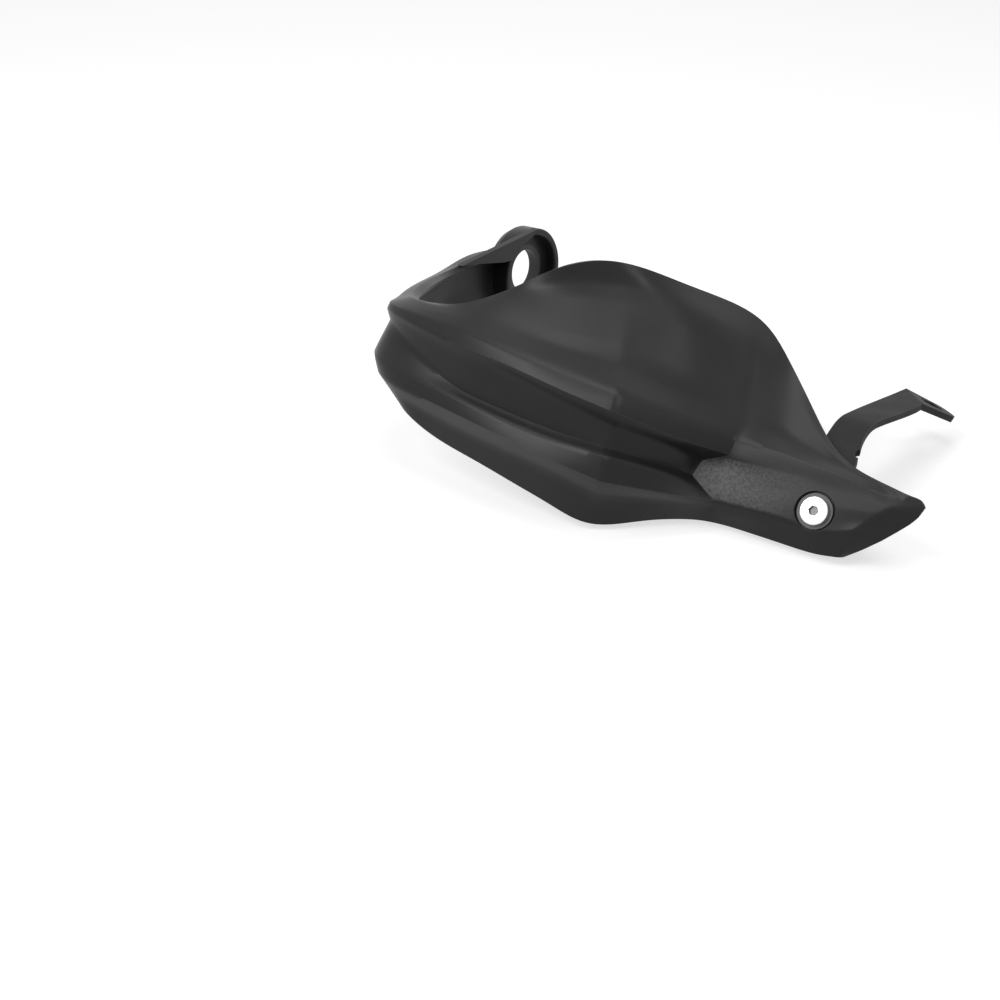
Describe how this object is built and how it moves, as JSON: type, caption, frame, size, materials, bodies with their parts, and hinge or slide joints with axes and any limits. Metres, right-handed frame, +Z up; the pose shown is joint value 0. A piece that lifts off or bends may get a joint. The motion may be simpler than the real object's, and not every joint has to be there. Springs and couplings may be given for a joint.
{
  "type": "motorcycle hand guard",
  "caption": "Faceted moulded hand guard for a motorcycle handlebar, with a bar-end ring, a channel-shaped arm, a tall shield and a folded steel bracket screwed behind its tail.",
  "frame": {"origin": "centre of the outboard mouth of the bar-end ring", "axes": "+X from the bar end inboard to the tail, +Y rearward towards the rider, +Z up; the bar axis climbs 5.4 degrees towards +X"},
  "size_m": [0.2873, 0.1904, 0.0989],
  "materials": {
    "shell_plastic": "dark charcoal, finely grained satin",
    "black_steel": "matte black powder coat",
    "bright_steel": "bright zinc plate",
    "grey_steel": "dull grey plate",
    "insert_plastic": "matte black"
  },
  "bodies": {
    "root": {"guard_shell": "shell_plastic", "mount_bracket": "black_steel", "clamp_screw": "bright_steel", "screw_collar": "grey_steel", "clamp_nut": "grey_steel", "bar_end_insert": "insert_plastic"}
  },
  "joints": []
}
